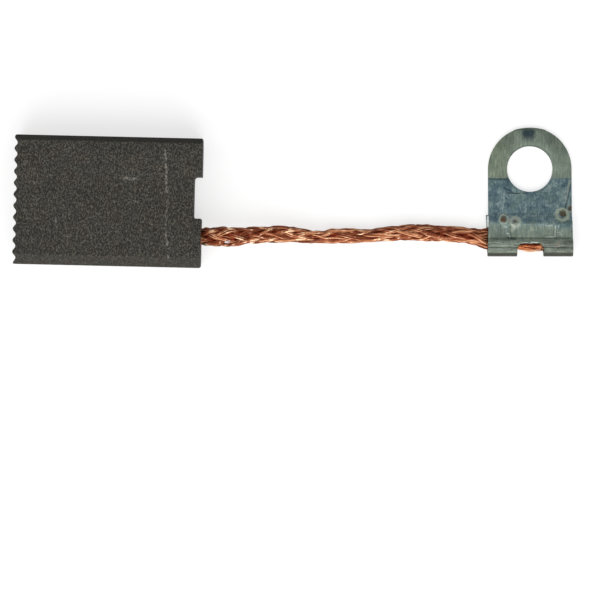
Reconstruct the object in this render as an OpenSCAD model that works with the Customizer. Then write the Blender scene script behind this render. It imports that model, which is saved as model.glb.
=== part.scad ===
// Carbon brush: a grooved carbon block, its braided shunt wire and a folded terminal lug.
// Millimetres. Origin: middle of the block's lower broad face.
// +X runs from the grooved running face to the wire end, +Z through the thickness.

/* [Carbon block] */
// Length from the crests of the running face to the wire end
block_l = 23.2; // [18:0.1:32]
// Width across the two guide sides
block_w = 16; // [12:0.1:25]
// Thickness between the two broad faces
block_t = 6.3; // [5:0.1:12.5]
// Chamfer on the one pair of opposite long edges
key_small = 0.65; // [0.2:0.05:1.5]
// Chamfer on the other pair, which keys the block in its holder
key_large = 1.2; // [0.3:0.05:2]
// Radius of the two worn plan corners
corner_r = 0.3; // [0.1:0.05:1]

/* [Running face] */
// Pitch of the bedding-in grooves
groove_pitch = 1.42; // [0.8:0.02:3]
// Depth of the grooves from crest to root
groove_depth = 0.38; // [0.1:0.02:0.8]
// Shift of the grooves from the middle line, towards the wire's side
groove_shift = 0.13; // [0:0.01:0.18]

/* [Spring seat] */
// Width of the notch that the spring arm presses in
seat_w = 5.25; // [3:0.05:7]
// Depth of the notch
seat_depth = 0.98; // [0.5:0.02:3]
// Distance of the notch from the middle line, away from the wire
seat_offset = 0.7; // [0:0.05:2]
// Fillet in the notch's two inner corners
seat_r = 0.4; // [0.1:0.05:0.5]

/* [Wire fixing] */
// Distance of the wire's hole from the middle line
wire_offset = 4.1; // [3:0.05:5]
// Diameter of the drilled hole
hole_d = 3.2; // [2.6:0.1:4]
// Depth of the hole's straight part
hole_depth = 8; // [7.7:0.1:12]
// Powder left between the braid's end and the end of the straight part
floor_t = 0.4; // [0.2:0.1:1]
// Included angle of the hole's pointed end
drill_angle = 118; // [90:1:140]

/* [Braid] */
// Diameter of the braided wire
braid_d = 2.1; // [1.2:0.05:2.4]
// Width of the braid where the lug presses it flat
crimped_w = 3; // [1.6:0.05:3.2]
// Height of the braid where the lug presses it flat
crimped_h = 0.9; // [0.5:0.05:1.2]

/* [Terminal lug] */
// Thickness of the strip
sheet_t = 0.5; // [0.3:0.05:0.8]
// Width of the tab, and the diameter of its round end
tab_w = 10.45; // [9:0.05:13]
// Diameter of the screw hole
screw_hole_d = 5.7; // [4.3:0.1:6.4]
// Distance from the outside of the fold to the middle of the screw hole
hole_to_fold = 10.95; // [10:0.05:16]
// Height of the space inside the fold
fold_gap = 1.3; // [1.2:0.05:2]
// Length of the flap that is folded under the tab
flap_l = 5.2; // [4.8:0.05:6]
// How far the flap's end stands out past the tab's edge on the wire side
flap_skew = 0.27; // [0.12:0.01:0.4]
// Bulge of the sheet's two edges at the fold
fold_flare = 0.1; // [0:0.02:0.2]
// Width of the slot punched across the fold
slot_w = 3.3; // [2:0.05:4.5]
// Reach of the slot from the outside of the fold
slot_reach = 1.65; // [1.2:0.05:1.9]
// Corner radius of the slot
slot_r = 0.8; // [0.3:0.05:1]
// Width of the bridge that held the round end to its carrier strip
bridge_w = 3.95; // [2:0.05:6]
// Step that is left at either side of the sheared bridge
bridge_step = 0.05; // [0.02:0.01:0.1]

/* [Crimp] */
// Start of the pressed strip, from the outside of the fold
press_start = 2.2; // [2.1:0.05:2.6]
// Width of the pressed strip along the tab
press_w = 2; // [1.8:0.05:2.4]
// Width of the two punch marks, across the tab
mark_w = 1.9; // [1:0.05:2.2]
// Length of the punch marks, along the tab
mark_l = 1.65; // [1:0.05:1.75]
// Width of the rib that divides each mark
mark_rib = 0.14; // [0.08:0.02:0.3]
// Depth of the punch marks
mark_depth = 0.12; // [0.04:0.02:0.2]
// Distance of the punch marks from the middle of the tab
mark_offset = 2.75; // [2.4:0.05:3.4]

/* [Hidden] */
$fn = 96;
eps = 0.01;

// Where the lug lies: the outside of its fold, middle of the tab, and its turn
lug_at = [52.7, -5.6, 0];
lug_turn = 1.3;

// Route of the braid's middle line, from its end in the block to its end in the lug
route = [
    [4, -4.1, 3.15], [7.8, -4.1, 3.15], [11.6, -4.1, 3.15], [13, -4.1, 3.15],
    [15.4, -4, 3.05], [17.8, -3.8, 2.75], [20.2, -3.6, 2.4], [22.6, -3.5, 2],
    [25.2, -3.8, 1.65], [27.8, -3.6, 1.35], [31.4, -3.5, 1.15], [34.4, -3.1, 1.05],
    [37.4, -2.9, 1.05], [40.4, -2.9, 1.05], [43, -3, 1.05], [45.2, -3.3, 1],
    [47, -3.45, 0.95], [52.2, -3.45, 0.95], [57.3, -3.3, 0.95]
];
// The braid is round up to this point of the route, and flat from the next but one
last_round = 14;
sides = 8;

// Leaf of the lug, as the middle of its sheet seen from the side
press_z = sheet_t * 1.5 + crimped_h;
step_run = sheet_t / 2;
flap_gap = 0.05;
flap_reach = 0.1;
rest_to_hole = 1.2;
shear_r = 6.8;
shear_dip = 0.04;
mark_split = 0.6;
bend_r = sheet_t / 2 + 0.15;
bend_steps = 4;
fold_steps = 18;
groove_steps = 10;

// ---- plane geometry

function unit(v) = v / norm(v);

// Arc that rounds the corner b of a path from a to c
function corner_arc(a, b, c, r, n) =
    let (u = unit(a - b), w = unit(c - b), half = acos(u * w) / 2)
    let (centre = b + unit(u + w) * r / sin(half), first = b + u * r / tan(half) - centre)
    let (turned = [-first.y, first.x], way = sign(turned * (b - centre)))
    [for (i = [0 : n])
        let (t = i / n * (180 - 2 * half))
        centre + first * cos(t) + way * turned * sin(t)];

// Rounds every inner corner of an open path
function rounded(path, r, n) = [
    path[0],
    for (i = [1 : len(path) - 2]) each corner_arc(path[i - 1], path[i], path[i + 1], r, n),
    path[len(path) - 1]
];

// Sum of the two segments' normals at a point of a path, scaled to keep their distance
function mitre(path, i) =
    let (before = unit(path[max(i, 1)] - path[max(i, 1) - 1]))
    let (last = len(path) - 2, after = unit(path[min(i, last) + 1] - path[min(i, last)]))
    let (m = [-before.y - after.y, before.x + after.x])
    m * 2 / (m * m);

function shifted(path, d) = [for (i = [0 : len(path) - 1]) path[i] + d * mitre(path, i)];

// Closed outline of a strip of sheet whose middle follows the path
function strip_outline(path, t) =
    let (upper = shifted(path, t / 2), lower = shifted(path, -t / 2))
    concat(upper, [for (i = [len(lower) - 1 : -1 : 0]) lower[i]]);

// What a fillet of radius r leaves in a square corner at the origin
module corner_waste(r) {
    difference() {
        translate([-eps, -eps])
            square(r + eps);
        translate([r, r])
            circle(r);
    }
}

// ---- carbon block

// Height of the running face's wave at a distance y from the middle line
function groove(y) = groove_depth * (1 + cos(360 * (y + groove_shift) / groove_pitch)) / 2;

module block_plan() {
    count = floor(block_w / groove_pitch / 2 - 0.5) * 2 + 1;
    edge = count * groove_pitch / 2;
    steps = count * groove_steps;
    front = [for (i = [0 : steps])
        let (y = edge - 2 * edge * i / steps - groove_shift)
        [groove(y) - block_l / 2, y]];
    difference() {
        polygon(concat(
            [[block_l / 2, block_w / 2], [-block_l / 2, block_w / 2]],
            front,
            [[-block_l / 2, -block_w / 2], [block_l / 2, -block_w / 2]]
        ));
        translate([block_l / 2, seat_offset])
            seat_plan();
        translate([block_l / 2, -block_w / 2])
            rotate(90)
                corner_waste(corner_r);
        translate([-block_l / 2, block_w / 2])
            rotate(-90)
                corner_waste(corner_r);
    }
}

// The spring's notch, cut in from x = 0 towards -x
module seat_plan() {
    difference() {
        translate([-seat_depth, -seat_w / 2])
            square([seat_depth + 1, seat_w]);
        translate([-seat_depth, -seat_w / 2])
            corner_waste(seat_r);
        translate([-seat_depth, seat_w / 2])
            rotate(-90)
                corner_waste(seat_r);
    }
}

// Section across the block: the same again when it is turned half a turn
module block_section() {
    w = block_w / 2;
    polygon([
        [w - key_large, 0], [w, key_large], [w, block_t - key_small], [w - key_small, block_t],
        [key_large - w, block_t], [-w, block_t - key_large], [-w, key_small], [key_small - w, 0]
    ]);
}

// Pointed hole with its mouth at the wire end, also the form of what fills it
module wire_hole(extra = 0) {
    tip = hole_d / 2 / tan(drill_angle / 2);
    translate([block_l / 2 - hole_depth, -wire_offset, block_t / 2]) {
        rotate([0, 90, 0])
            cylinder(d = hole_d, h = hole_depth + extra);
        rotate([0, -90, 0])
            cylinder(d1 = hole_d, d2 = 0, h = tip);
    }
}

module carbon_block() {
    color("#454340")
        difference() {
            intersection() {
                linear_extrude(block_t)
                    block_plan();
                translate([-block_l / 2 - 1, 0, 0])
                    rotate([90, 0, 90])
                        linear_extrude(block_l + 2)
                            block_section();
            }
            wire_hole(extra = 1);
        }
}

module tamping_plug() {
    color("#7a4a34")
        difference() {
            wire_hole();
            translate([block_l / 2 - hole_depth + floor_t, -wire_offset, block_t / 2])
                rotate([0, 90, 0])
                    rotate(180 / sides)
                        cylinder(d = braid_d / cos(180 / sides), h = hole_depth, $fn = sides);
        }
}

// ---- copper braid

// Half width and half height of the braid at a point of the route
function braid_half(i) =
    let (k = min(max((i - last_round) / 2, 0), 1))
    [braid_d * (1 - k) + crimped_w * k, braid_d * (1 - k) + crimped_h * k] / 2;

function along(i) =
    unit(route[min(i + 1, len(route) - 1)] - route[max(i - 1, 0)]);

// One ring of the braid's tube, square to the route, with a flat underneath
function braid_ring(i) =
    let (t = along(i), across = unit([-t.y, t.x, 0]), up = cross(t, across))
    let (half = braid_half(i) / cos(180 / sides))
    [for (k = [0 : sides - 1])
        let (a = (k + 0.5) * 360 / sides)
        route[i] + across * half[0] * cos(a) + up * half[1] * sin(a)];

module copper_braid() {
    rings = len(route);
    last = (rings - 1) * sides;
    points = [for (i = [0 : rings - 1]) each braid_ring(i)];
    walls = [for (i = [0 : rings - 2], k = [0 : sides - 1])
        let (n = (k + 1) % sides)
        [i * sides + k, i * sides + n, (i + 1) * sides + n, (i + 1) * sides + k]];
    start = [for (k = [sides - 1 : -1 : 0]) k];
    end = [for (k = [0 : sides - 1]) last + k];
    color("#b5653c")
        polyhedron(points, concat([start, end], walls));
}

// ---- terminal lug, in its own frame: x across the tab, y from the fold to the hole

fold_h = fold_gap + 2 * sheet_t;
fold_r = (fold_h - sheet_t) / 2;
fold_y = fold_h / 2;
tab_l = hole_to_fold + tab_w / 2;

// Flap and fold, ending on top of the fold
flap_path = concat(
    [[flap_l, sheet_t / 2]],
    [for (i = [0 : fold_steps])
        let (a = 180 * i / fold_steps)
        [fold_y - fold_r * sin(a), fold_h / 2 - fold_r * cos(a)]]
);

// Leaf from the top of the fold, down over the braid and out to the round end
drop_y = press_start + press_w;
leaf_path = rounded([
    [fold_y, fold_h - sheet_t / 2],
    [press_start - step_run, fold_h - sheet_t / 2],
    [press_start, press_z],
    [drop_y, press_z],
    [flap_l + flap_reach, sheet_t * 1.5 + flap_gap],
    [hole_to_fold - rest_to_hole, sheet_t / 2],
    [tab_l, sheet_t / 2]
], bend_r, bend_steps);

// Stands an outline drawn along the tab on its edge, w wide across the tab
module across_tab(w) {
    translate([-w / 2, 0, 0])
        rotate([90, 0, 90])
            linear_extrude(w)
                children();
}

module bridge() {
    translate([-bridge_w / 2, 0])
        square([bridge_w, tab_w]);
}

// Round end about its own middle, with the flatter crown where the bridge was sheared off
module round_end() {
    difference() {
        union() {
            circle(d = tab_w);
            intersection() {
                circle(d = tab_w + 2 * bridge_step);
                bridge();
            }
        }
        difference() {
            bridge();
            translate([0, tab_w / 2 - shear_dip - shear_r])
                circle(r = shear_r);
        }
    }
}

module lug_plan() {
    at_fold = tab_w / 2 + fold_flare;
    difference() {
        union() {
            translate([0, hole_to_fold])
                round_end();
            polygon([
                [-tab_w / 2, hole_to_fold], [-tab_w / 2, flap_l], [-at_fold, fold_y],
                [at_fold, fold_y], [tab_w / 2, flap_l], [tab_w / 2, hole_to_fold]
            ]);
        }
        translate([0, hole_to_fold])
            circle(d = screw_hole_d);
    }
}

// Flap and fold as seen from above: the flap's end is askew
module flap_plan() {
    at_fold = tab_w / 2 + fold_flare;
    end_y = flap_l + 1;
    skew = (flap_skew - fold_flare) * (end_y - fold_y) / (flap_l - fold_y);
    polygon([
        [-at_fold, -1], [-at_fold, fold_y], [-at_fold - skew, end_y],
        [at_fold - skew, end_y], [at_fold, fold_y], [at_fold, -1]
    ]);
}

// The slot as it is seen from above, round at its inner corners
module slot_plan() {
    difference() {
        translate([-slot_w / 2, -1])
            square([slot_w, slot_reach + 1]);
        translate([-slot_w / 2, slot_reach])
            rotate(-90)
                corner_waste(slot_r);
        translate([slot_w / 2, slot_reach])
            rotate(180)
                corner_waste(slot_r);
    }
}

// Two pockets with a rib between them, cut mark_depth into the pressed strip
module punch_mark() {
    first_w = (mark_w - mark_rib) * mark_split;
    second_w = mark_w - mark_rib - first_w;
    for (pocket = [[0, first_w], [first_w + mark_rib, second_w]])
        translate([pocket[0] - mark_w / 2, -mark_l / 2, -mark_depth])
            cube([pocket[1], mark_l, 2 * mark_depth]);
}

module terminal_lug() {
    color("#8b9693")
        translate(lug_at)
            rotate(lug_turn)
                difference() {
                    union() {
                        intersection() {
                            across_tab(tab_w + 2)
                                polygon(strip_outline(flap_path, sheet_t));
                            linear_extrude(fold_h + 1)
                                flap_plan();
                        }
                        intersection() {
                            across_tab(tab_w + 2)
                                polygon(strip_outline(leaf_path, sheet_t));
                            linear_extrude(fold_h + 1)
                                lug_plan();
                        }
                    }
                    translate([0, 0, -1])
                        linear_extrude(fold_h + 2)
                            slot_plan();
                    for (side = [-1, 1])
                        translate([side * mark_offset, drop_y - press_w / 2, press_z + sheet_t / 2])
                            punch_mark();
                }
}

carbon_block();
tamping_plug();
copper_braid();
terminal_lug();
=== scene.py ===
import math

import bmesh
import bpy
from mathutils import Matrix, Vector


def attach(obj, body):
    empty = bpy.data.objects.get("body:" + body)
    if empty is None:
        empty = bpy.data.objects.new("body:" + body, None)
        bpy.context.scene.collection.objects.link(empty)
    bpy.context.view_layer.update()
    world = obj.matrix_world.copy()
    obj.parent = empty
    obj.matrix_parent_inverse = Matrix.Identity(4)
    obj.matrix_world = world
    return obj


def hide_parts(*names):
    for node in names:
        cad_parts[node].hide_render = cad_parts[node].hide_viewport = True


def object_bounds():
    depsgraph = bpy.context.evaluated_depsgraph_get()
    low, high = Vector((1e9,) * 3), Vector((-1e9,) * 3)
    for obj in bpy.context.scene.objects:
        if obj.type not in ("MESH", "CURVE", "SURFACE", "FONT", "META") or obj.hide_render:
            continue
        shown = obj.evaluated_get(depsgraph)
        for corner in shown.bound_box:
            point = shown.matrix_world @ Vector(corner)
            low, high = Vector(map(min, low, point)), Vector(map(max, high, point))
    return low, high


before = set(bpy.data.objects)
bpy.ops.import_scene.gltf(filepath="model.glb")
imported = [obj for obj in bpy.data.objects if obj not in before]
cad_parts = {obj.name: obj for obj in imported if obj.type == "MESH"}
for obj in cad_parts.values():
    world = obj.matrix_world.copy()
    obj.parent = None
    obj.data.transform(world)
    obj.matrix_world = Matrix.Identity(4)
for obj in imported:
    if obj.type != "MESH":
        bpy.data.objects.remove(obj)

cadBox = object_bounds()
mm = 0.001


# Small helpers for node trees.

def fill(tree, node, inputs):  # a socket is linked, anything else is set as the input's value
    for key, value in inputs.items():
        if isinstance(value, bpy.types.NodeSocket):
            tree.links.new(value, node.inputs[key])
        else:
            node.inputs[key].default_value = value


def addNode(tree, kind, inputs=None, **settings):
    node = tree.nodes.new(kind)
    for name, value in settings.items():
        setattr(node, name, value)
    fill(tree, node, inputs or {})
    return node


def calc(tree, operation, *values, clamp=False):
    node = addNode(tree, "ShaderNodeMath", dict(enumerate(values)), operation=operation, use_clamp=clamp)
    return node.outputs[0]


def plus(tree, *values):
    total = values[0]
    for value in values[1:]:
        total = calc(tree, "ADD", total, value)
    return total


def times(tree, *values):
    product = values[0]
    for value in values[1:]:
        product = calc(tree, "MULTIPLY", product, value)
    return product


def minus(tree, first, second):
    return calc(tree, "SUBTRACT", first, second)


def swing(tree, value, amount=1.0):  # a noise from 0 to 1 as a shift to either side
    return times(tree, minus(tree, value, 0.5), amount)


def ranged(tree, value, low, rise):  # low where the value is 0, low + rise where it is 1
    return plus(tree, low, times(tree, value, rise))


def share(tree, factor, amount):
    return calc(tree, "MULTIPLY", factor, amount, clamp=True)


def vectorCalc(tree, operation, *values, output="Vector"):
    node = addNode(tree, "ShaderNodeVectorMath", dict(enumerate(values)), operation=operation)
    return node.outputs[output]


def scaled(tree, vector, factor):
    node = addNode(tree, "ShaderNodeVectorMath", {0: vector, "Scale": factor}, operation="SCALE")
    return node.outputs[0]


def combined(tree, x, y, z=0.0):
    return addNode(tree, "ShaderNodeCombineXYZ", {0: x, 1: y, 2: z}).outputs[0]


def separated(tree, vector):
    return addNode(tree, "ShaderNodeSeparateXYZ", {0: vector}).outputs


def colour(red, green, blue):  # a screen colour, 0 to 255, as the linear one that a socket takes
    linear = [((c / 255 + 0.055) / 1.055) ** 2.4 if c > 10 else c / 3294.6 for c in (red, green, blue)]
    return (*linear, 1.0)


def smooth(tree, value, low, high):  # 0 at low, 1 at high, which may be the lower of the two
    node = addNode(tree, "ShaderNodeMapRange", {"Value": value, "From Min": low, "From Max": high},
                   interpolation_type="SMOOTHSTEP")
    return node.outputs["Result"]


def between(tree, value, low, high, soft):
    rise = smooth(tree, value, low - soft, low + soft)
    fall = smooth(tree, value, high - soft, high + soft)
    return calc(tree, "SUBTRACT", rise, fall, clamp=True)


def noise(tree, vector, scale, detail=2.0, roughness=0.5, distortion=0.0):
    return addNode(tree, "ShaderNodeTexNoise", {
        "Vector": vector, "Scale": scale, "Detail": detail, "Roughness": roughness,
        "Distortion": distortion}).outputs[0]


def stretched(tree, vector, scale, turn=0.0, shift=(0.0, 0.0, 0.0)):
    return addNode(tree, "ShaderNodeMapping", {
        "Vector": vector, "Scale": scale, "Rotation": (0.0, 0.0, turn), "Location": shift}).outputs[0]


def mixed(tree, factor, first, second, blend="MIX"):
    node = addNode(tree, "ShaderNodeMix", data_type="RGBA", blend_type=blend)
    fill(tree, node, {0: factor, 6: first, 7: second})
    return node.outputs[2]


def painted(tree, base, where, shade, amount=1.0):  # a colour laid over the base
    return mixed(tree, share(tree, where, amount), base, colour(*shade))


def tinted(tree, base, where, shade, amount=1.0):  # the base multiplied by a colour
    tint = mixed(tree, 1.0, base, colour(*shade), "MULTIPLY")
    return mixed(tree, share(tree, where, amount), base, tint)


def ramp(tree, factor, stops):  # stops are (place, colour)
    node = addNode(tree, "ShaderNodeValToRGB", {"Fac": factor})
    while len(node.color_ramp.elements) < len(stops):
        node.color_ramp.elements.new(0.5)
    for element, (place, shade) in zip(node.color_ramp.elements, stops):
        element.position = place
        element.color = colour(*shade)
    return node.outputs["Color"]


def newMaterial(name):
    material = bpy.data.materials.new(name)
    material.use_nodes = True
    tree = material.node_tree
    return material, tree, tree.nodes["Principled BSDF"]


def placeInMm(tree):  # the piece's own coordinates, in millimetres
    place = addNode(tree, "ShaderNodeTexCoord").outputs["Object"]
    return vectorCalc(tree, "MULTIPLY", place, (1000.0, 1000.0, 1000.0))


def bumpOf(tree, height, strength, distance):
    return addNode(tree, "ShaderNodeBump", {
        "Height": height, "Strength": strength, "Distance": distance}).outputs[0]


def fromLine(tree, place, start, end):  # distance of a place from a straight line between two points
    away = Vector(end) - Vector(start)
    local = vectorCalc(tree, "SUBTRACT", place, start)
    along = vectorCalc(tree, "DOT_PRODUCT", local, tuple(away), output="Value")
    along = calc(tree, "DIVIDE", along, away.length_squared, clamp=True)
    return vectorCalc(tree, "DISTANCE", local, scaled(tree, tuple(away), along), output="Value")


# Pieces that start as a merged copy of a CAD node.

copySet = {
    "flatAngle": math.radians(0.4),       # faces that meet at less become one
    "smoothAngle": math.radians(38),      # edges that are sharper stay sharp
    "weld": 0.0005 * mm,
    "edgeSegments": 2,
}


def mergedCopy(nodeName, pieceName, look):
    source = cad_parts[nodeName]
    work = bmesh.new()
    work.from_mesh(source.data)
    bmesh.ops.remove_doubles(work, verts=work.verts, dist=look["mergeGap"])
    bmesh.ops.dissolve_limit(work, angle_limit=copySet["flatAngle"], verts=work.verts, edges=work.edges)
    sharp = [e for e in work.edges if len(e.link_faces) == 2 and e.calc_face_angle(0) > look["sharpAngle"]]
    bmesh.ops.bevel(work, geom=sharp, offset=look["edgeRadius"], offset_type="OFFSET",
                    segments=copySet["edgeSegments"], profile=0.5, affect="EDGES", clamp_overlap=False)
    bmesh.ops.remove_doubles(work, verts=work.verts, dist=copySet["weld"])
    mesh = bpy.data.meshes.new(pieceName)
    work.to_mesh(mesh)
    work.free()
    piece = bpy.data.objects.new(pieceName, mesh)
    bpy.context.scene.collection.objects.link(piece)
    mesh.polygons.foreach_set("use_smooth", [True] * len(mesh.polygons))
    mesh.set_sharp_from_angle(angle=copySet["smoothAngle"])
    return piece


# Camera, world, floor and lights.

cameraSet = {
    "place": (0.024082, -0.011690, 0.450),
    "turn": math.radians(1.31),
    "lens": 215.6,
    "sensor": 36.0,
    "clip": (0.01, 10.0),
}
lightSet = {
    "ambient": 0.30,
    "backdrop": 1.0,
    "floorColour": (0.62, 0.62, 0.62, 1.0),
    "floorLift": 0.64,       # what the floor adds for the camera alone, so that it shows white
    "floorSize": 1.6,
    "lamps": [               # name, place, size and power, all aimed at the object's middle
        ("keyLamp", (0.03, -0.42, 0.38), 0.86, 2.9),
        ("fillLamp", (-0.38, -0.02, 0.40), 0.50, 0.35),
    ],
}


def makeCamera():
    data = bpy.data.cameras.new("camera")
    data.lens = cameraSet["lens"]
    data.sensor_width = cameraSet["sensor"]
    data.clip_start, data.clip_end = cameraSet["clip"]
    camera = bpy.data.objects.new("camera", data)
    camera.location = cameraSet["place"]
    camera.rotation_euler = (0, 0, cameraSet["turn"])
    bpy.context.scene.collection.objects.link(camera)
    bpy.context.scene.camera = camera


def seenDirectly(tree):  # 1 for what the camera, a mirror or clear glass looks at
    path = addNode(tree, "ShaderNodeLightPath").outputs
    either = calc(tree, "MAXIMUM", path["Is Camera Ray"], path["Is Glossy Ray"])
    return calc(tree, "MAXIMUM", either, path["Is Transmission Ray"])


def makeWorld():
    world = bpy.data.worlds.new("studio")
    bpy.context.scene.world = world
    world.use_nodes = True
    tree = world.node_tree
    strength = addNode(tree, "ShaderNodeMix", {0: seenDirectly(tree), 2: lightSet["ambient"],
                                               3: lightSet["backdrop"]}).outputs[0]
    background = tree.nodes["Background"]
    background.inputs["Color"].default_value = (1, 1, 1, 1)
    tree.links.new(strength, background.inputs["Strength"])


def makeFloor():
    half = lightSet["floorSize"] / 2
    mesh = bpy.data.meshes.new("floor")
    corners = [(-half, -half, 0), (half, -half, 0), (half, half, 0), (-half, half, 0)]
    mesh.from_pydata(corners, [], [(0, 1, 2, 3)])
    floor = bpy.data.objects.new("floor", mesh)
    bpy.context.scene.collection.objects.link(floor)
    material = bpy.data.materials.new("paleFloor")
    material.use_nodes = True
    tree = material.node_tree
    tree.nodes.clear()
    matt = addNode(tree, "ShaderNodeBsdfDiffuse", {"Color": lightSet["floorColour"]})
    lift = calc(tree, "MULTIPLY", seenDirectly(tree), lightSet["floorLift"])
    glow = addNode(tree, "ShaderNodeEmission", {"Strength": lift})
    both = addNode(tree, "ShaderNodeAddShader", {0: matt.outputs[0], 1: glow.outputs[0]})
    addNode(tree, "ShaderNodeOutputMaterial", {"Surface": both.outputs[0]})
    mesh.materials.append(material)


def makeLamps():
    middle = (cadBox[0] + cadBox[1]) / 2
    for name, place, size, power in lightSet["lamps"]:
        data = bpy.data.lights.new(name, "AREA")
        data.shape = "DISK"
        data.size = size
        data.energy = power
        lamp = bpy.data.objects.new(name, data)
        lamp.location = place
        lamp.rotation_euler = (Vector(place) - middle).to_track_quat("Z", "Y").to_euler()
        bpy.context.scene.collection.objects.link(lamp)


# The braided shunt wire.

braidSet = {
    "route": [               # middle line in metres, from its end in the block to its end in the lug
        (0.004, -0.0041, 0.00315), (0.0078, -0.0041, 0.00315), (0.0116, -0.0041, 0.00315),
        (0.013, -0.0041, 0.00315), (0.0154, -0.004, 0.00305), (0.0178, -0.0038, 0.00275),
        (0.0202, -0.0036, 0.0024), (0.0226, -0.0035, 0.002), (0.0252, -0.0038, 0.00165),
        (0.0278, -0.0036, 0.00135), (0.0314, -0.0035, 0.00115), (0.0344, -0.0031, 0.00105),
        (0.0374, -0.0029, 0.00105), (0.0404, -0.0029, 0.00105), (0.043, -0.003, 0.00105),
        (0.0452, -0.0033, 0.001), (0.047, -0.00345, 0.00095), (0.0522, -0.00345, 0.00095),
        (0.0573, -0.0033, 0.00095)],
    "shape": [               # station along X, half width, half height, lean to the +Y side, all in mm
        (4, 1.05, 1.05, 0), (11.6, 1.05, 1.05, 0), (12.3, 1.21, 1.03, 0.07), (13.5, 1.21, 1, 0.01),
        (14.8, 1.34, 0.97, 0.05), (16.1, 1.16, 0.95, -0.06), (17.3, 1.05, 0.98, 0.05),
        (18.6, 1.04, 1, -0.04), (19.8, 1.03, 1, 0.02), (21.1, 1.09, 1, -0.03), (22.3, 1.05, 1, -0.04),
        (23.6, 0.91, 1, 0.02), (24.8, 0.88, 1, 0.03), (25.8, 0.78, 1, 0.04), (26.9, 0.79, 1, -0.09),
        (28, 1, 1, -0.02), (29.2, 0.95, 1, 0.03), (30.5, 0.94, 0.99, 0.01), (31.7, 0.82, 0.98, -0.05),
        (33, 0.85, 0.98, -0.09), (34.2, 0.86, 0.98, -0.13), (35.5, 0.99, 0.98, -0.13),
        (36.7, 0.94, 0.98, -0.03), (38, 1.03, 0.98, -0.02), (39.2, 1.12, 0.98, -0.06),
        (40.5, 0.9, 0.98, -0.07), (41.7, 0.96, 0.98, -0.08), (43, 1.03, 0.98, -0.05),
        (44.2, 1.07, 0.97, 0.07), (45.3, 1.04, 0.95, 0.14), (46.1, 1.04, 0.86, 0.06),
        (46.7, 1.22, 0.64, -0.06), (47.2, 1.4, 0.41, -0.03), (51.2, 1.46, 0.4, 0),
        (52.7, 1.56, 0.41, -0.09), (54.6, 1.46, 0.4, 0), (57.3, 1.45, 0.4, 0)],
    "ringGap": 0.36 * mm,    # from one ring of a wire to the next
    "hiddenGap": 1.2 * mm,   # the same in the block, where nothing shows
    "diameter": 2.1 * mm,
    "exit": (0.0116, -0.0041, 0.00315),    # where it leaves the block
    "carriers": 8,           # strands wound each way
    "columns": 5,            # wires side by side in a strand
    "wires": 9,              # wires in a strand
    "wireWidth": 0.156 * mm,
    "wireSides": 4,
    "coreSides": 10,
    "wireGap": 0.122,        # the angle from wire to wire in a strand
    "pitch": 18.5 * mm,      # length in which a strand goes once round
    "looseFrom": 14.5 * mm,
    "looseTo": 46.0 * mm,
    # how far out a wire lies, as shares of the braid's half width and half height
    "reach": 0.70,
    "weave": 0.15,           # further out where its strand crosses over another, further in below one
    "layerStep": 0.10,       # further out in a strand's upper layer
    "dome": 0.012,           # further in towards a strand's sides
    "strandBulge": 0.26,
    "wireBulge": 0.24,
    "fullReach": 0.94,
    "looseReach": 0.17,      # past that where a wire is loose
    "coreReach": 0.56,       # the core that fills the middle
    # how far strands and wires wander round the braid, in radians
    "strandWander": 0.85,
    "wireWander": 0.36,
    # how much that changes in a millimetre, and from one to the next
    "strandChange": (0.22, 5.3),
    "wireChange": (0.42, 3.7),
    "looseNoise": (0.62, 0.72),    # a wire is tight while its noise is below these, loose above them
    "looseSide": 0.55,       # this much of it at the sides, all of it on top and none below
    "wind": [                # station along X and how much of that turning is left there
        (13.0, 1.0), (20.0, 0.9), (26.0, 0.8), (30.0, 0.55), (35.0, 0.55), (38.5, 0.95), (43.0, 0.8),
        (46.8, 0.6), (47.2, 0.2)],
    "seed": 7,
}


def curveThrough(points):  # a smooth line through the points, one point every gap
    line = []
    last = len(points) - 1
    for i in range(last):
        p0, p1, p2, p3 = (Vector(points[min(max(i + k, 0), last)]) for k in (-1, 0, 1, 2))
        gap = braidSet["hiddenGap"] if p2.x <= braidSet["exit"][0] else braidSet["ringGap"]
        count = max(2, round((p2 - p1).length / gap))
        for step in range(count):
            t = step / count
            line.append(0.5 * (2 * p1 + (p2 - p0) * t + (2 * p0 - 5 * p1 + 4 * p2 - p3) * t * t
                               + (3 * p1 - 3 * p2 + p3 - p0) * t ** 3))
    line.append(Vector(points[-1]))
    return line


def tableAt(table, x):  # rows are a station in millimetres and its values, x is in metres
    x = x / mm
    for (x1, *values1), (x2, *values2) in zip(table, table[1:]):
        if x <= x2:
            t = min(max((x - x1) / (x2 - x1), 0), 1)
            t = t * t * (3 - 2 * t)
            return [a + (b - a) * t for a, b in zip(values1, values2)]
    return table[-1][1:]


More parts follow.
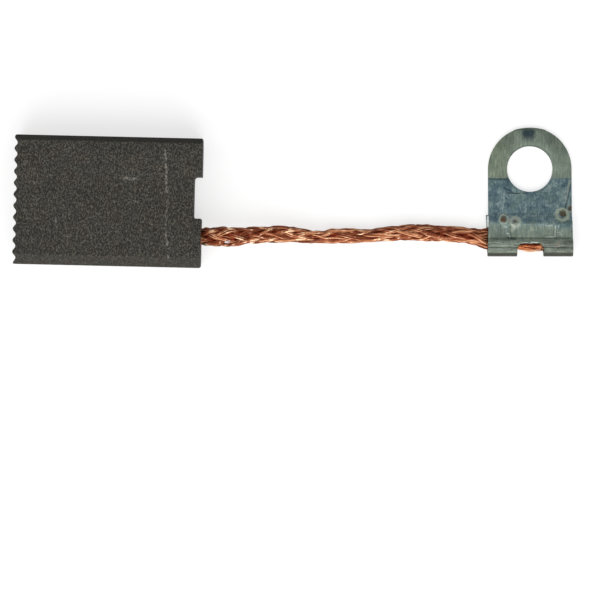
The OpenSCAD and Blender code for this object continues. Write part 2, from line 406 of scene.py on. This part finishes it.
def braidTree(material):
    tree = bpy.data.node_groups.new("braidedWires", "GeometryNodeTree")
    sockets = {}
    tree.interface.new_socket("Geometry", in_out="INPUT", socket_type="NodeSocketGeometry")
    for name, kind in (("Carriers", "Int"), ("Columns", "Int"), ("Wires", "Int"), ("Wire Width", "Float"),
                       ("Pitch", "Float"), ("Seed", "Int")):
        socket = tree.interface.new_socket(name, in_out="INPUT", socket_type="NodeSocket" + kind)
        sockets[name] = socket.identifier
    tree.interface.new_socket("Geometry", in_out="OUTPUT", socket_type="NodeSocketGeometry")
    given = addNode(tree, "NodeGroupInput").outputs

    def named(name):
        return addNode(tree, "GeometryNodeInputNamedAttribute", {"Name": name},
                       data_type="FLOAT").outputs[0]

    def stored(geometry, name, value):
        node = addNode(tree, "GeometryNodeStoreNamedAttribute", {
            "Geometry": geometry, "Name": name, "Value": value}, data_type="FLOAT", domain="POINT")
        return node.outputs[0]

    def randomOf(identity, extra):  # 0 to 1, the same for the same identity
        node = addNode(tree, "FunctionNodeRandomValue", {
            "ID": identity, "Seed": plus(tree, given["Seed"], float(extra))}, data_type="FLOAT")
        low, high = [s for s in node.inputs if s.type == "VALUE"][:2]
        low.default_value = 0.0
        high.default_value = 1.0
        return next(s for s in node.outputs if s.type == "VALUE")

    line = addNode(tree, "GeometryNodeMeshToCurve", {"Mesh": given["Geometry"]}).outputs[0]
    amount = times(tree, given["Carriers"], 2.0, given["Wires"])
    copies = addNode(tree, "GeometryNodeDuplicateElements", {"Geometry": line, "Amount": amount},
                     domain="SPLINE")
    index = copies.outputs["Duplicate Index"]

    # which way round, which carrier, and the wire's place in its strand
    back = calc(tree, "MODULO", index, 2.0)
    way = minus(tree, 1.0, times(tree, back, 2.0))
    pair = calc(tree, "FLOOR", calc(tree, "DIVIDE", index, 2.0))
    wire = calc(tree, "MODULO", pair, given["Wires"])
    carrier = calc(tree, "FLOOR", calc(tree, "DIVIDE", pair, given["Wires"]))
    strandId = plus(tree, times(tree, carrier, 2.0), back)
    column = calc(tree, "MODULO", wire, given["Columns"])
    layer = calc(tree, "FLOOR", calc(tree, "DIVIDE", wire, given["Columns"]))
    middleColumn = calc(tree, "DIVIDE", minus(tree, given["Columns"], 1.0), 2.0)
    lower = minus(tree, column, middleColumn)
    upper = minus(tree, column, 1.0)
    side = addNode(tree, "ShaderNodeMix", {0: layer, 2: lower, 3: upper}).outputs[0]

    # slow wander of the strand, and a quicker one of each wire
    along = addNode(tree, "GeometryNodeSplineParameter").outputs["Length"]
    alongMm = times(tree, along, 1000.0)
    perMm, perStrand = braidSet["strandChange"]
    drift = combined(tree, times(tree, alongMm, perMm), times(tree, strandId, perStrand), given["Seed"])
    perMm, perWire = braidSet["wireChange"]
    stray = combined(tree, times(tree, alongMm, perMm), times(tree, index, perWire), given["Seed"])
    strandWander = swing(tree, noise(tree, drift, 1.0, 1.0), braidSet["strandWander"])
    strandBulge = swing(tree, noise(tree, drift, 1.7, 1.0))
    wireWander = swing(tree, noise(tree, stray, 1.0, 1.0), braidSet["wireWander"])
    wireBulge = swing(tree, noise(tree, stray, 1.9, 1.0), braidSet["wireBulge"])

    # angle round the braid
    step = calc(tree, "DIVIDE", 2 * math.pi, given["Carriers"])
    turns = calc(tree, "DIVIDE", times(tree, named("wound"), 2 * math.pi), given["Pitch"])
    angle = plus(tree, times(tree, carrier, step), times(tree, turns, way), strandWander)
    loose = plus(tree, 1.0, strandBulge)
    wireAngle = plus(tree, angle, times(tree, side, loose, braidSet["wireGap"]), wireWander)
    cosine = calc(tree, "COSINE", wireAngle)
    sine = calc(tree, "SINE", wireAngle)

    # over two, under two
    wave = calc(tree, "SINE", plus(tree, times(tree, angle, 4.0), math.pi / 4))
    wave = calc(tree, "MAXIMUM", calc(tree, "MINIMUM", times(tree, wave, 1.5), 1.0), -1.0)
    reach = plus(tree, braidSet["reach"], times(tree, way, wave, braidSet["weave"]),
                 times(tree, layer, braidSet["layerStep"]), times(tree, side, side, -braidSet["dome"]),
                 times(tree, strandBulge, braidSet["strandBulge"]), wireBulge)
    reach = calc(tree, "MINIMUM", reach, braidSet["fullReach"])

    # here and there a wire stands out at the sides and on top
    here = separated(tree, addNode(tree, "GeometryNodeInputPosition").outputs[0])
    free = between(tree, here[0], braidSet["looseFrom"], braidSet["looseTo"], 0.6 * mm)
    slack = smooth(tree, noise(tree, stray, 0.55, 1.0), *braidSet["looseNoise"])
    above = times(tree, sine, braidSet["looseSide"])
    slack = times(tree, slack, calc(tree, "ADD", braidSet["looseSide"], above, clamp=True))
    reach = plus(tree, reach, times(tree, slack, free, braidSet["looseReach"]))

    tangent = addNode(tree, "GeometryNodeInputTangent").outputs[0]
    across = vectorCalc(tree, "NORMALIZE", vectorCalc(tree, "CROSS_PRODUCT", (0.0, 0.0, 1.0), tangent))
    up = vectorCalc(tree, "CROSS_PRODUCT", tangent, across)
    wide = plus(tree, times(tree, cosine, reach, named("halfWidth")), named("lean"))
    high = times(tree, sine, reach, named("halfHeight"))
    offset = vectorCalc(tree, "ADD", scaled(tree, across, wide), scaled(tree, up, high))

    wires = stored(copies.outputs[0], "strandShade", randomOf(strandId, 1))
    wires = stored(wires, "wireShade", randomOf(index, 2))
    wires = stored(wires, "depth", reach)
    wires = stored(wires, "aside", times(tree, cosine, reach))
    wires = addNode(tree, "GeometryNodeSetPosition", {"Geometry": wires, "Offset": offset}).outputs[0]
    profile = addNode(tree, "GeometryNodeCurvePrimitiveCircle", {
        "Resolution": braidSet["wireSides"], "Radius": times(tree, given["Wire Width"], 0.5)}).outputs[0]
    wires = addNode(tree, "GeometryNodeCurveToMesh", {
        "Curve": wires, "Profile Curve": profile, "Fill Caps": True}).outputs[0]

    core = line
    for name, value in (("strandShade", 0.5), ("wireShade", 0.5), ("depth", 0.3), ("aside", 0.0)):
        core = stored(core, name, value)
    coreProfile = addNode(tree, "GeometryNodeCurvePrimitiveCircle", {
        "Resolution": braidSet["coreSides"], "Radius": 1.0})
    core = addNode(tree, "GeometryNodeCurveToMesh", {
        "Curve": core, "Profile Curve": coreProfile.outputs[0], "Fill Caps": True,
        "Scale": times(tree, named("halfHeight"), braidSet["coreReach"])}).outputs[0]

    joined = addNode(tree, "GeometryNodeJoinGeometry")
    tree.links.new(wires, joined.inputs[0])
    tree.links.new(core, joined.inputs[0])
    real = addNode(tree, "GeometryNodeRealizeInstances", {"Geometry": joined.outputs[0]}).outputs[0]
    done = addNode(tree, "GeometryNodeSetMaterial", {"Geometry": real, "Material": material}).outputs[0]
    tree.links.new(done, addNode(tree, "NodeGroupOutput").inputs[0])
    return tree, sockets


copperSet = {
    "tones": [(0.28, (92, 42, 24)), (0.5, (148, 79, 50)), (0.74, (224, 164, 122))],
    "crest": (255, 222, 184),
    "hollowOxideAndShade": (124, 36, 8),
    "darkenedAndShaded": (168, 154, 144),
    "shadow": (150, 104, 86),
    "glint": (246, 196, 158),
    "tin": (214, 206, 206),
    "tinned": ((14.74, -4.78, 3.95), (15.12, -4.70, 3.95)),    # a spot of tin, from and to
    "streaks": [(0.40, (92, 44, 24)), (0.50, (186, 118, 84)), (0.62, (236, 196, 166))],
    # from and to along X in millimetres, the change lies between
    "darkerAtBlock": (13.2, 11.8),
    "paler": (13.0, 27.0),
    "worn": (34.0, 38.0),
    "pressed": (47.0, 47.8),
    "glintFrom": (50.8, 51.8),
    "slotMiddle": 52.7,
    "metal": 0.86,
    "rough": (0.24, 0.2),
    "bump": (0.35, 0.03 * mm),
}


def copperMaterial():
    material, tree, shader = newMaterial("bareCopperWire")
    place = placeInMm(tree)
    x = separated(tree, place)[0]

    def read(name):
        return addNode(tree, "ShaderNodeAttribute", attribute_name=name).outputs["Fac"]

    wire = read("wireShade")
    depth = read("depth")
    aside = read("aside")
    patch = noise(tree, place, 1.1, 3.0, 0.6)
    tone = plus(tree, times(tree, read("strandShade"), 0.30), times(tree, wire, 0.70))
    tone = plus(tree, times(tree, tone, 0.62), times(tree, patch, 0.42))
    tone = plus(tree, tone, times(tree, smooth(tree, x, *copperSet["paler"]), 0.04), -0.022)
    base = ramp(tree, tone, copperSet["tones"])

    # painted highlights on the crests, fewer from about 34 mm on along X and fewer still there on the side
    # away from the lamp, and darker red in the hollows, partly oxide and partly painted shade
    later = smooth(tree, x, *copperSet["worn"])
    worn = times(tree, later, smooth(tree, aside, -0.45, 0.0))
    crest = times(tree, smooth(tree, depth, 0.83, 0.92), smooth(tree, patch, 0.50, 0.60),
                  smooth(tree, wire, 0.15, 0.65), minus(tree, 1.0, times(tree, worn, 0.75)),
                  minus(tree, 1.0, share(tree, later, 0.35)))
    base = painted(tree, base, crest, copperSet["crest"], 0.95)
    base = mixed(tree, smooth(tree, depth, 0.56, 0.86), colour(*copperSet["hollowOxideAndShade"]), base)

    # long streaks, a shadow and a glint where the lug presses it flat
    pressed = share(tree, smooth(tree, x, *copperSet["pressed"]), 0.9)
    lay = noise(tree, stretched(tree, place, (0.45, 6.5, 2.0), turn=0.12), 1.0, 2.0, 0.5)
    lay = plus(tree, times(tree, lay, 0.8), times(tree, wire, 0.2))
    streaks = ramp(tree, lay, copperSet["streaks"])
    base = mixed(tree, pressed, base, mixed(tree, 1.0, base, streaks, "MULTIPLY"))
    shadow = times(tree, smooth(tree, aside, -0.75, 0.15), pressed)
    base = tinted(tree, base, shadow, copperSet["shadow"], 0.8)
    slant = minus(tree, aside, times(tree, minus(tree, x, copperSet["slotMiddle"]), 0.04))
    glint = times(tree, between(tree, slant, -0.97, -0.80, 0.04), pressed,
                  smooth(tree, x, *copperSet["glintFrom"]))
    base = painted(tree, base, glint, copperSet["glint"], 0.75)

    # darker where the wire leaves the block, and painted shade on the side away from the lamp: along the
    # far edge all the way, and over that half from about 34 mm on
    darkenedAndShaded = calc(tree, "MAXIMUM", smooth(tree, x, *copperSet["darkerAtBlock"]), share(tree, worn, 0.38))
    darkenedAndShaded = calc(tree, "MAXIMUM", darkenedAndShaded, share(tree, smooth(tree, aside, 0.60, 0.86), 0.75))
    base = tinted(tree, base, darkenedAndShaded, copperSet["darkenedAndShaded"], 0.85)
    tinned = fromLine(tree, place, *copperSet["tinned"])
    base = painted(tree, base, smooth(tree, tinned, 0.26, 0.14), copperSet["tin"])
    draw = noise(tree, stretched(tree, place, (1.5, 14.0, 14.0)), 1.0, 2.0)
    fill(tree, shader, {
        "Base Color": base, "Metallic": copperSet["metal"],
        "Roughness": ranged(tree, noise(tree, place, 3.0), *copperSet["rough"]),
        "Normal": bumpOf(tree, draw, *copperSet["bump"])})
    return material


def makeBraid():
    line = curveThrough(braidSet["route"])
    mesh = bpy.data.meshes.new("braidLine")
    mesh.from_pydata(line, [(i, i + 1) for i in range(len(line) - 1)], [])
    sizes = [tableAt(braidSet["shape"], p.x) for p in line]
    wound = [0.0]
    for before, after in zip(line, line[1:]):
        wound.append(wound[-1] + (after - before).length * tableAt(braidSet["wind"], after.x)[0])
    halfWidth, halfHeight, lean = ([value * mm for value in column] for column in zip(*sizes))
    for name, values in (("halfWidth", halfWidth), ("halfHeight", halfHeight), ("lean", lean),
                         ("wound", wound)):
        attribute = mesh.attributes.new(name, "FLOAT", "POINT")
        attribute.data.foreach_set("value", values)
    host = bpy.data.objects.new("braidLine", mesh)
    bpy.context.scene.collection.objects.link(host)
    material = copperMaterial()
    tree, sockets = braidTree(material)
    modifier = host.modifiers.new("braid", "NODES")
    modifier.node_group = tree
    for name, key in (("Carriers", "carriers"), ("Columns", "columns"), ("Wires", "wires"),
                      ("Wire Width", "wireWidth"), ("Pitch", "pitch"), ("Seed", "seed")):
        modifier[sockets[name]] = braidSet[key]
    depsgraph = bpy.context.evaluated_depsgraph_get()
    baked = bpy.data.meshes.new_from_object(host.evaluated_get(depsgraph), depsgraph=depsgraph)
    bpy.data.objects.remove(host)
    baked.name = "braid"
    baked.polygons.foreach_set("use_smooth", [True] * len(baked.polygons))
    braid = bpy.data.objects.new("shunt_braid", baked)
    bpy.context.scene.collection.objects.link(braid)
    length = sum((b - a).length for a, b in zip(line, line[1:]))
    print("braid:", len(baked.polygons), "faces,", round(length * 1000, 1), "mm")
    return braid, line, length


# The carbon block and the powder that holds the wire in it.

blockSet = {
    "edgeRadius": 0.06 * mm,
    "sharpAngle": math.radians(28),
    "mergeGap": 0.01 * mm,
    "farChamfer": 7.38,      # from here on along Y the narrow chamfer starts
    "nearChamfer": -6.82,    # and from here on the other way the wide one
    "scratches": [           # ends in millimetres, width and strength
        ((7.05, 6.4, 6.3), (7.25, 2.2, 6.3), 0.13, 0.9),
        ((7.25, 2.2, 6.3), (7.58, 0.1, 6.3), 0.16, 0.9),
        ((7.40, 0.1, 6.3), (7.28, -3.0, 6.3), 0.10, 0.6),
        ((7.28, -3.0, 6.3), (7.70, -6.8, 6.3), 0.12, 1.0),
        ((0.9, 2.85, 6.3), (4.3, 2.78, 6.3), 0.17, 0.8),
        ((-9.2, 3.7, 6.3), (-9.1, 1.9, 6.3), 0.08, 0.7),
        ((-6.3, -2.3, 6.3), (-6.2, -3.3, 6.3), 0.10, 0.7),
        ((-5.1, -4.4, 6.3), (-4.4, -4.6, 6.3), 0.10, 0.6),
        ((3.3, 0.1, 6.3), (3.9, -0.2, 6.3), 0.12, 0.7),
    ],
    "warm": [(0.34, (18, 15, 12)), (0.50, (53, 49, 43)), (0.65, (104, 99, 90))],
    "cool": [(0.34, (16, 16, 12)), (0.50, (50, 49, 43)), (0.65, (98, 98, 90))],
    "grains": (134, 129, 120),
    "pits": (26, 26, 24),
    "ground": (112, 108, 102),
    "nearTone": (62, 58, 53),
    "farChamferShade": (34, 35, 32),
    "scratch": (150, 146, 136),
    "shine": 0.22,
    "rough": (0.58, 0.3),
    "bump": (0.55, 0.06 * mm),
}


def carbonMaterial():
    material, tree, shader = newMaterial("groundCarbon")
    place = placeInMm(tree)
    y = separated(tree, place)[1]
    grain = noise(tree, stretched(tree, place, (5.2, 3.0, 4.0), turn=0.12), 1.0, 4.0, 0.68, 0.3)
    fine = noise(tree, stretched(tree, place, (8.0, 5.5, 7.0)), 1.0, 2.0, 0.6)
    ground = noise(tree, stretched(tree, place, (9.0, 0.45, 3.0), turn=0.03), 1.0, 2.0, 0.5)
    mottle = noise(tree, place, 0.55, 3.0, 0.55)
    base = mixed(tree, smooth(tree, mottle, 0.38, 0.62), ramp(tree, grain, blockSet["cool"]),
                 ramp(tree, grain, blockSet["warm"]))
    base = painted(tree, base, smooth(tree, fine, 0.58, 0.70), blockSet["grains"], 0.9)
    base = painted(tree, base, smooth(tree, fine, 0.42, 0.27), blockSet["pits"], 0.75)
    base = painted(tree, base, smooth(tree, ground, 0.60, 0.72), blockSet["ground"], 0.25)

    # the wide chamfer is smoother, and the narrow one, which faces away from the lamp, gets a painted
    # shade
    near = smooth(tree, y, blockSet["nearChamfer"] + 0.1, blockSet["nearChamfer"] - 0.1)
    base = painted(tree, base, near, blockSet["nearTone"], 0.4)
    far = smooth(tree, y, blockSet["farChamfer"] - 0.12, blockSet["farChamfer"] + 0.12)
    base = painted(tree, base, far, blockSet["farChamferShade"], 0.75)

    # drag marks and scratches in broken dashes
    ragged = noise(tree, stretched(tree, place, (5.2, 4.0, 1.0), turn=0.6), 1.0, 3.0, 0.8)
    gaps = smooth(tree, noise(tree, place, 1.1, 2.0, 0.6), 0.40, 0.54)
    broken = times(tree, smooth(tree, ragged, 0.44, 0.56), gaps)
    shake = swing(tree, noise(tree, place, 1.6, 3.0, 0.7), 0.55)
    for start, end, width, strength in blockSet["scratches"]:
        away = calc(tree, "ABSOLUTE", plus(tree, fromLine(tree, place, start, end), shake))
        mark = times(tree, smooth(tree, away, width * 1.6, width * 0.3), broken)
        base = painted(tree, base, mark, blockSet["scratch"], strength)

    relief = plus(tree, times(tree, grain, 0.6), times(tree, fine, 0.4))
    fill(tree, shader, {
        "Base Color": base, "Specular IOR Level": blockSet["shine"],
        "Roughness": ranged(tree, grain, *blockSet["rough"]),
        "Normal": bumpOf(tree, relief, *blockSet["bump"])})
    return material


def makeBlock():
    block = mergedCopy("carbon_block", "carbon_body", blockSet)
    block.data.materials.append(carbonMaterial())
    print("block:", len(block.data.polygons), "faces")
    return block


powderSet = {
    "crumbs": [(0.3, (52, 34, 26)), (0.5, (120, 74, 52)), (0.72, (188, 128, 94))],
    "metal": 0.55,
    "rough": 0.6,
    "bump": (0.9, 0.12 * mm),
}


def powderMaterial():
    material, tree, shader = newMaterial("tampedCopperPowder")
    crumbs = noise(tree, placeInMm(tree), 6.0, 4.0, 0.7)
    fill(tree, shader, {
        "Base Color": ramp(tree, crumbs, powderSet["crumbs"]), "Metallic": powderSet["metal"],
        "Roughness": powderSet["rough"], "Normal": bumpOf(tree, crumbs, *powderSet["bump"])})
    return material


# The terminal lug.

lugSet = {
    "edgeRadius": 0.045 * mm,
    "sharpAngle": math.radians(34),
    "mergeGap": 0.002 * mm,
    "at": (0.0527, -0.0056, 0.0),     # outside of the fold, middle of the tab
    "turn": math.radians(1.3),
    # from here on in the lug's own millimetres: across the tab, along it from the fold
    "hole": (0.0, 10.95, 0.0),
    "bend": 9.80,
    "burns": [               # heart's middle, radius and colour, halo's middle, two radii and colour
        ((-3.36, 4.62, 0), 0.30, (94, 70, 46), (-3.34, 4.65, 0), 0.44, 0.66, (146, 154, 142)),
        ((-1.90, 4.30, 0), 0.24, (88, 82, 72), (-1.92, 4.28, 0), 0.34, 0.74, (140, 148, 136)),
        ((4.13, 5.36, 0), 0.42, (72, 64, 46), (4.00, 5.22, 0), 0.50, 0.88, (142, 152, 136)),
        ((5.10, 6.03, 0), 0.34, (66, 60, 48), (5.05, 6.00, 0), 0.36, 0.52, (120, 128, 114)),
    ],
    "strokes": [             # ends, width, colour and strength
        ((-2.30, 3.30, 0), (-1.85, 3.85, 0), 0.30, (138, 146, 134), 0.75),
        ((4.98, 9.50, 0), (4.75, 8.30, 0), 0.17, (130, 140, 130), 0.7),
        ((4.75, 8.30, 0), (4.45, 6.80, 0), 0.11, (130, 140, 130), 0.7),
        ((5.12, 9.20, 0), (4.80, 7.60, 0), 0.08, (50, 64, 74), 0.75),
        ((4.80, 7.60, 0), (4.42, 6.20, 0), 0.09, (46, 58, 66), 0.8),
        ((1.50, 8.10, 0), (2.45, 8.75, 0), 0.09, (124, 136, 130), 0.6),
        ((2.45, 8.75, 0), (3.15, 9.70, 0), 0.09, (128, 138, 132), 0.6),
        ((-3.15, 8.60, 0), (-2.80, 8.32, 0), 0.09, (40, 56, 68), 0.8),
        ((-2.80, 8.32, 0), (-2.25, 8.15, 0), 0.08, (46, 60, 70), 0.8),
        ((-2.75, 7.95, 0), (-1.55, 7.88, 0), 0.09, (36, 48, 56), 0.9),
        ((-1.55, 7.88, 0), (-0.30, 7.94, 0), 0.07, (46, 60, 68), 0.8),
        ((-2.50, 7.78, 0), (-1.30, 7.70, 0), 0.09, (120, 134, 134), 0.5),
        # painted shade under the lower edge of the left punch mark
        ((-2.70, 2.28, 0), (-1.95, 2.16, 0), 0.18, (54, 62, 60), 0.75),
        ((-4.60, 2.10, 0), (-2.60, 2.04, 0), 0.08, (66, 74, 68), 0.7),
        # painted highlights on the walls of the right punch mark
        ((1.86, 2.41, 0), (2.90, 2.43, 0), 0.06, (178, 186, 178), 0.9),
        ((1.86, 3.83, 0), (2.85, 3.81, 0), 0.05, (140, 150, 146), 0.8),
        ((3.06, 2.45, 0), (3.08, 3.50, 0), 0.06, (172, 180, 174), 0.85),
        ((3.09, 3.80, 0), (3.08, 3.54, 0), 0.09, (166, 176, 172), 0.8),
        ((3.46, 3.78, 0), (3.47, 3.62, 0), 0.08, (160, 170, 166), 0.75),
        # painted glints along the slot's upper rim
        ((-1.10, 1.62, 0), (-0.25, 1.75, 0), 0.05, (168, 176, 162), 0.7),
        ((0.05, 1.77, 0), (0.86, 1.68, 0), 0.07, (184, 190, 178), 0.75),
        ((-1.64, 1.10, 0), (-1.27, 1.60, 0), 0.12, (80, 88, 78), 0.6),
        ((1.05, 1.73, 0), (1.74, 1.06, 0), 0.12, (80, 90, 80), 0.6),
        # painted highlights at the right side of the right punch mark
        ((3.30, 2.95, 0), (3.75, 2.98, 0), 0.05, (160, 168, 162), 0.6),
        ((3.55, 2.72, 0), (3.90, 2.74, 0), 0.06, (166, 174, 168), 0.7),
        # painted highlights on the edges of the left punch mark
        ((-3.20, 3.72, 0), (-2.95, 3.62, 0), 0.07, (170, 178, 174), 0.7),
        ((-2.95, 2.86, 0), (-2.66, 2.82, 0), 0.08, (172, 180, 174), 0.75),
        ((-2.66, 2.60, 0), (-2.56, 2.42, 0), 0.06, (164, 172, 166), 0.7),
        ((3.25, 1.25, 0), (3.60, 1.85, 0), 0.14, (124, 98, 82), 0.4),
        # painted glint down the crimp's side tab
        ((-5.28, 5.00, 0), (-5.30, 3.80, 0), 0.09, (214, 218, 216), 0.9),
    ],
    "stain": (-0.95, 0.60, 14.2, 15.9),    # from and to across, from and to along
    # along the tab, the change lies between the two numbers
    "foldRim": (0.50, 0.40),
    "foldSide": (1.15, 0.95),
    "legSide": (2.0, 1.7),
    "fold": (2.15, 1.95),
    "blueFrom": (3.55, 4.45),
    "darkerBlue": (9.6, 7.0),
    "oliveFrom": (9.0, 10.5),
    "holeShadeFrom": (11.6, 13.2),
    "crown": (12.6, 14.6),
    # across the tab, in the same way
    "oliveSide": (-1.0, -4.5),
    "legFrom": (1.0, 1.8),
    "cornerFrom": (2.6, 3.6),
    "creaseFade": (1.5, -3.0),
    "holeEdge": (3.12, 2.95),              # away from the hole's middle
    # from and to along the tab, and how soft the two ends are
    "foldLine": (1.98, 2.10, 0.05),
    "below": (2.7, 4.0, 0.4),
    "corner": (3.45, 4.60, 0.25),
    "band": (4.5, 5.4, 0.4),
    "crease": (9.58, 9.80, 0.10),
    "hazeTone": (88, 108, 103),
    "oliveTint": (255, 254, 244),
    "crownTint": (222, 222, 222),
    "bandTone": (62, 80, 92),
    "cornerTint": (234, 234, 234),
    "legTint": (230, 228, 230),
    "foldLineShade": (62, 70, 64),
    "foldShadeTint": (234, 232, 232),
    "foldRimShade": (66, 68, 60),
    "creaseShade": (44, 56, 60),
    "holeShade": (58, 64, 60),
    "stainTone": (40, 51, 55),
    "paleSpeck": (168, 176, 170),
    "darkSpeck": (54, 62, 62),
    "rough": (0.34, 0.25),
    "bump": (0.35, 0.05 * mm),
    "blue": [(0.37, (56, 75, 85)), (0.52, (86, 106, 111)), (0.64, (124, 140, 139))],
    "green": [(0.36, (86, 98, 90)), (0.50, (107, 118, 107)), (0.62, (130, 139, 125))],
    "foldTones": [(0.36, (78, 85, 78)), (0.50, (104, 113, 103)), (0.64, (132, 141, 129))],
}


def zincMaterial():
    material, tree, shader = newMaterial("passivatedZinc")
    own = addNode(tree, "ShaderNodeMapping", {
        "Vector": addNode(tree, "ShaderNodeTexCoord").outputs["Object"],
        "Location": lugSet["at"], "Rotation": (0.0, 0.0, lugSet["turn"]), "Scale": (mm, mm, mm)},
        vector_type="TEXTURE").outputs[0]
    axes = separated(tree, own)
    u, v = axes[0], axes[1]
    flat = combined(tree, u, v)
    haze = noise(tree, own, 0.9, 4.0, 0.6, 0.4)
    smear = noise(tree, stretched(tree, own, (3.0, 0.8, 2.0), turn=0.3), 1.0, 4.0, 0.68, 0.9)
    cloud = noise(tree, stretched(tree, own, (0.8, 1.0, 1.0), shift=(7, 3, 0)), 1.0, 3.0, 0.6, 0.5)
    rolled = noise(tree, stretched(tree, own, (5.0, 0.7, 2.0), shift=(2, 0, 0)), 1.0, 3.0, 0.6)
    brushed = noise(tree, stretched(tree, own, (0.7, 7.0, 4.0)), 1.0, 3.0, 0.6)
    speck = noise(tree, own, 6.0, 2.0, 0.6)
    dust = noise(tree, stretched(tree, own, (4.0, 4.0, 4.0), shift=(3, 9, 1)), 1.0, 2.0, 0.7)

    def ragged(value, amount):
        return plus(tree, value, swing(tree, dust, amount))

    # three tones: blue, green and the fold's brushed one
    blueTone = ragged(plus(tree, times(tree, smear, 0.50), times(tree, cloud, 0.50)), 0.28)
    blueTone = plus(tree, blueTone, times(tree, smooth(tree, v, *lugSet["darkerBlue"]), 0.03))
    blue = ramp(tree, blueTone, lugSet["blue"])
    blue = painted(tree, blue, smooth(tree, haze, 0.50, 0.62), lugSet["hazeTone"], 0.55)
    ringTone = ragged(plus(tree, times(tree, rolled, 0.45), times(tree, haze, 0.30), 0.12), 0.14)
    green = ramp(tree, ringTone, lugSet["green"])
    olive = times(tree, smooth(tree, u, *lugSet["oliveSide"]), smooth(tree, v, *lugSet["oliveFrom"]))
    green = tinted(tree, green, olive, lugSet["oliveTint"])
    green = tinted(tree, green, smooth(tree, v, *lugSet["crown"]), lugSet["crownTint"])
    foldTone = ragged(plus(tree, times(tree, brushed, 0.6), times(tree, haze, 0.4)), 0.14)
    fold = ramp(tree, foldTone, lugSet["foldTones"])

    # where each of them lies along the tab
    vRough = plus(tree, v, swing(tree, cloud, 1.1))
    base = mixed(tree, smooth(tree, vRough, *lugSet["blueFrom"]), green, blue)
    edge = plus(tree, v, swing(tree, smear, 0.25))
    base = mixed(tree, smooth(tree, edge, lugSet["bend"] - 0.07, lugSet["bend"] + 0.07), base, green)
    base = painted(tree, base, between(tree, vRough, *lugSet["band"]), lugSet["bandTone"], 0.12)
    below = times(tree, between(tree, vRough, *lugSet["below"]), smooth(tree, smear, 0.44, 0.58))
    corner = times(tree, smooth(tree, u, *lugSet["cornerFrom"]),
                   between(tree, ragged(v, 1.2), *lugSet["corner"]))
    below = calc(tree, "MAXIMUM", share(tree, below, 0.45), corner)
    lowBlue = mixed(tree, 1.0, blue, colour(*lugSet["cornerTint"]), "MULTIPLY")
    base = mixed(tree, below, base, lowBlue)
    base = mixed(tree, smooth(tree, v, *lugSet["fold"]), base, fold)
    leg = times(tree, smooth(tree, v, *lugSet["legSide"]), smooth(tree, u, *lugSet["legFrom"]))
    base = tinted(tree, base, leg, lugSet["legTint"])
    # painted shade on the fold: a thin line at the step where it begins, a darker lower part where it
    # would mirror the lamp, and its steep bottom band
    base = painted(tree, base, between(tree, v, *lugSet["foldLine"]), lugSet["foldLineShade"], 0.2)
    base = tinted(tree, base, smooth(tree, v, *lugSet["foldSide"]), lugSet["foldShadeTint"])
    base = painted(tree, base, smooth(tree, v, *lugSet["foldRim"]), lugSet["foldRimShade"])

    # painted shade along the edge of the bend, strongest on one side, and under the hole's upper edge
    crease = times(tree, between(tree, edge, *lugSet["crease"]), smooth(tree, u, *lugSet["creaseFade"]))
    base = painted(tree, base, crease, lugSet["creaseShade"], 0.75)
    rim = vectorCalc(tree, "DISTANCE", flat, lugSet["hole"], output="Value")
    rimShade = times(tree, smooth(tree, rim, *lugSet["holeEdge"]),
                     smooth(tree, ragged(v, 3.0), *lugSet["holeShadeFrom"]))
    base = painted(tree, base, rimShade, lugSet["holeShade"], 0.5)

    # blue stain at the crown, darkest at its top
    left, right, low, high = lugSet["stain"]
    stain = times(tree, between(tree, ragged(u, 0.9), left, right, 0.35),
                  between(tree, ragged(v, 0.9), low, high, 0.30),
                  plus(tree, 0.15, smooth(tree, v, low, high - 0.5)))
    base = painted(tree, base, stain, lugSet["stainTone"], 0.92)

    wobble = swing(tree, noise(tree, own, 1.8, 3.0, 0.7), 0.5)
    for heartAt, heart, heartColour, haloAt, inner, outer, haloColour in lugSet["burns"]:
        away = plus(tree, vectorCalc(tree, "DISTANCE", flat, haloAt, output="Value"), wobble)
        halo = between(tree, away, inner, outer, (outer - inner) * 0.35)
        base = painted(tree, base, halo, haloColour, 0.85)
        away = plus(tree, vectorCalc(tree, "DISTANCE", flat, heartAt, output="Value"), wobble)
        base = painted(tree, base, smooth(tree, ragged(away, 0.5), heart + 0.16, heart - 0.12),
                       heartColour, 0.92)

    shake = swing(tree, noise(tree, own, 2.6, 3.0, 0.7), 0.16)
    for start, end, width, shade, strength in lugSet["strokes"]:
        away = plus(tree, fromLine(tree, flat, start, end), shake)
        mark = times(tree, smooth(tree, away, width * 1.5, width * 0.4), smooth(tree, dust, 0.30, 0.48))
        base = painted(tree, base, mark, shade, strength)

    pale = times(tree, smooth(tree, speck, 0.63, 0.74), smooth(tree, haze, 0.40, 0.60))
    base = painted(tree, base, pale, lugSet["paleSpeck"], 0.7)
    base = painted(tree, base, smooth(tree, speck, 0.37, 0.28), lugSet["darkSpeck"], 0.4)
    relief = plus(tree, times(tree, smear, 0.6), times(tree, dust, 0.4))
    fill(tree, shader, {
        "Base Color": base, "Metallic": 1.0,
        "Roughness": ranged(tree, haze, *lugSet["rough"]),
        "Normal": bumpOf(tree, relief, *lugSet["bump"])})
    return material


def makeLug():
    lug = mergedCopy("terminal_lug", "lug_body", lugSet)
    lug.data.materials.append(zincMaterial())
    print("lug:", len(lug.data.polygons), "faces")
    return lug


# Everything put together.

makeCamera()
makeWorld()
makeFloor()
makeLamps()
bpy.context.scene.view_settings.view_transform = "Standard"
print("stage ready")

braid, braidLine, braidLength = makeBraid()
block = makeBlock()
lug = makeLug()

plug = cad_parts["tamping_plug"]
plug.data.materials.clear()
plug.data.materials.append(powderMaterial())

for piece, node, slotName in ((braid, "copper_braid", "copper"), (block, "carbon_block", "carbon"),
                              (lug, "terminal_lug", "plated_steel")):
    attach(piece, "root")
    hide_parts(node)
print("pieces in place")
